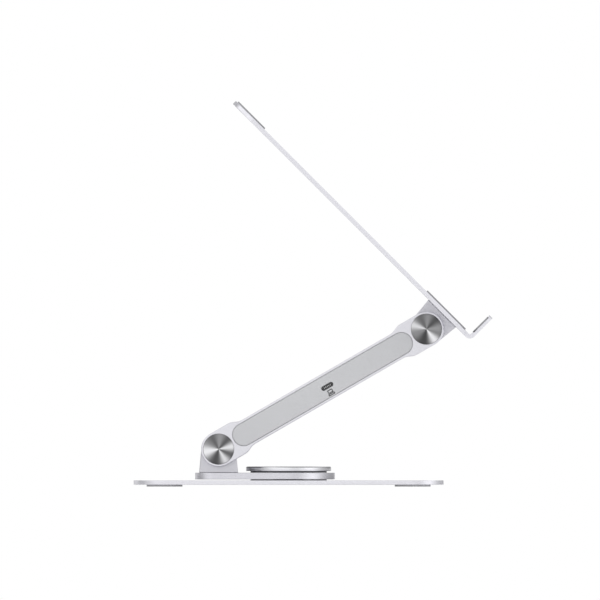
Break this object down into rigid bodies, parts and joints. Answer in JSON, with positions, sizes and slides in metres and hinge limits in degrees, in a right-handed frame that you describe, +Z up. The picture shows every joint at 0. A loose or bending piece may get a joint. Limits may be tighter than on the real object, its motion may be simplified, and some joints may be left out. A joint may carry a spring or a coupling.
{
  "type": "laptop stand",
  "caption": "Swivelling two-hinge laptop stand with a connector hub in its arm and a hooked tray",
  "frame": {"origin": "where the swivel axis meets the desk, under the middle of the base plate", "axes": "+Z up along the swivel axis, +X towards the user, +Y to the user's right"},
  "size_m": [0.2872, 0.24, 0.3084],
  "materials": {
    "base_aluminium": "fine bead-blasted, silver anodised",
    "foot_silicone": "matt grey silicone",
    "turned_steel": "turned",
    "screw_steel": "machine finish",
    "slip_ring_polymer": "moulded, dark",
    "spring_steel": "blued spring steel",
    "brushed_cap": "turned rim, spun top",
    "turntable_aluminium": "fine bead-blasted, silver anodised",
    "block_aluminium": "fine bead-blasted, silver anodised",
    "bush_bronze": "sintered bronze",
    "washer_polymer": "moulded, dark",
    "axle_steel": "turned",
    "arm_aluminium": "fine bead-blasted, silver anodised",
    "spun_hinge_cap": "spun with fine concentric turning lines",
    "panel_grey": "smooth satin grey",
    "gasket_rubber": "matt dark",
    "circuit_board": "solder mask",
    "chip_epoxy": "moulded epoxy",
    "port_metal": "drawn shell, bright nickel",
    "port_polymer": "moulded black",
    "tray_aluminium": "fine bead-blasted, silver anodised",
    "pad_silicone": "matt grey silicone"
  },
  "bodies": {
    "base": {"base_plate": "base_aluminium", "foot_front_left": "foot_silicone", "foot_front_right": "foot_silicone", "foot_rear_left": "foot_silicone", "foot_rear_right": "foot_silicone", "spindle": "turned_steel", "spindle_screws": "screw_steel", "cap_screw": "screw_steel", "lower_slip_ring": "slip_ring_polymer", "upper_slip_ring": "slip_ring_polymer", "swivel_spring": "spring_steel", "swivel_cap": "brushed_cap"},
    "turntable": {"swivel_plate": "turntable_aluminium", "lower_hinge_block": "block_aluminium", "lower_block_screws": "screw_steel", "lower_hinge_bushes": "bush_bronze"},
    "arm": {"arm_frame": "arm_aluminium", "lower_hinge_axle": "axle_steel", "lower_hinge_nut": "axle_steel", "lower_hinge_disc_springs": "spring_steel", "lower_hinge_washers": "washer_polymer", "lower_cap_left": "spun_hinge_cap", "lower_cap_right": "spun_hinge_cap", "upper_hinge_axle": "axle_steel", "upper_hinge_nut": "axle_steel", "upper_hinge_disc_springs": "spring_steel", "upper_hinge_washers": "washer_polymer", "upper_cap_left": "spun_hinge_cap", "upper_cap_right": "spun_hinge_cap", "left_panel": "panel_grey", "right_panel": "panel_grey", "left_panel_gasket": "gasket_rubber", "right_panel_gasket": "gasket_rubber", "hub_board": "circuit_board", "hub_chips": "chip_epoxy", "board_screws": "screw_steel", "laptop_port_shell": "port_metal", "laptop_port_tongue": "port_polymer", "power_port_shell": "port_metal", "power_port_tongue": "port_polymer", "display_port_shell": "port_metal", "display_port_tongue": "port_polymer", "usb_port_shells": "port_metal", "usb_port_tongues": "port_polymer"},
    "tray": {"tray_plate": "tray_aluminium", "upper_hinge_block": "block_aluminium", "upper_block_screws": "screw_steel", "upper_hinge_bushes": "bush_bronze", "rear_tray_pad": "pad_silicone", "front_tray_pad": "pad_silicone", "left_hook_pad": "pad_silicone", "right_hook_pad": "pad_silicone"}
  },
  "joints": [
    {"name": "swivel", "type": "hinge", "parent": "base", "child": "turntable", "pos_m": [0, 0, 0.005], "axis": [0, 0, 1], "continuous": true},
    {"name": "arm_lift", "type": "hinge", "parent": "turntable", "child": "arm", "pos_m": [-0.056, 0, 0.03], "axis": [0, -1, 0], "range_deg": [-30, 20]},
    {"name": "tray_tilt", "type": "hinge", "parent": "arm", "child": "tray", "pos_m": [0.11028, 0, 0.126], "axis": [0, 1, 0], "range_deg": [-75, 35]}
  ]
}
